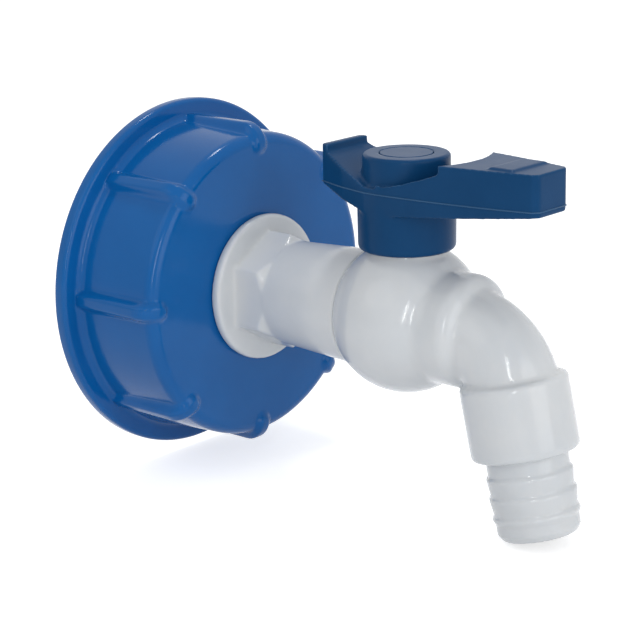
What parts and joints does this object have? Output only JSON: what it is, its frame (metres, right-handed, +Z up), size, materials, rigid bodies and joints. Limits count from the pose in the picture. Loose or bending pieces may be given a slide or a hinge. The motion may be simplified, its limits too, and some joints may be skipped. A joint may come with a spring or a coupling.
{
  "type": "ibc_tank_valve",
  "caption": "Quarter-turn ball tap on a ribbed blue screw cap for a container outlet, with a blue lever, a milky white elbow and a hose tail",
  "frame": {"origin": "centre of the cap's open mouth, on the axis of its thread", "axes": "+X with the flow from tank to spout, +Z up along the stem, +Y to the left of the flow"},
  "size_m": [0.114, 0.0828, 0.0855],
  "materials": {
    "cap_blue": "glossy moulded plastic",
    "lever_blue": "satin moulded plastic",
    "milky_white": "milky glossy plastic",
    "ball_white": "polished plastic",
    "stem_white": "plain moulded plastic",
    "seat_white": "waxy plastic",
    "ring_black": "smooth rubber",
    "gasket_black": "matt rubber",
    "screw_steel": "stainless"
  },
  "bodies": {
    "tap": {"cap_nut": "cap_blue", "cap_gasket": "gasket_black", "flange_gasket": "gasket_black", "inlet_body": "milky_white", "valve_body": "milky_white", "body_ring": "ring_black", "inlet_seat": "seat_white", "outlet_seat": "seat_white", "inlet_seat_ring": "ring_black", "outlet_seat_ring": "ring_black", "thrust_washer": "seat_white", "nozzle": "milky_white", "nozzle_washer": "gasket_black"},
    "handle": {"lever": "lever_blue", "lever_screw": "screw_steel", "screw_washer": "screw_steel", "hub_plug": "lever_blue", "stem": "stem_white", "stem_ring_lower": "ring_black", "stem_ring_upper": "ring_black", "ball": "ball_white"}
  },
  "joints": [
    {"name": "lever_turn", "type": "hinge", "parent": "tap", "child": "handle", "pos_m": [0.0695, 0, 0], "axis": [0, 0, 1], "range_deg": [-90, 0]}
  ]
}
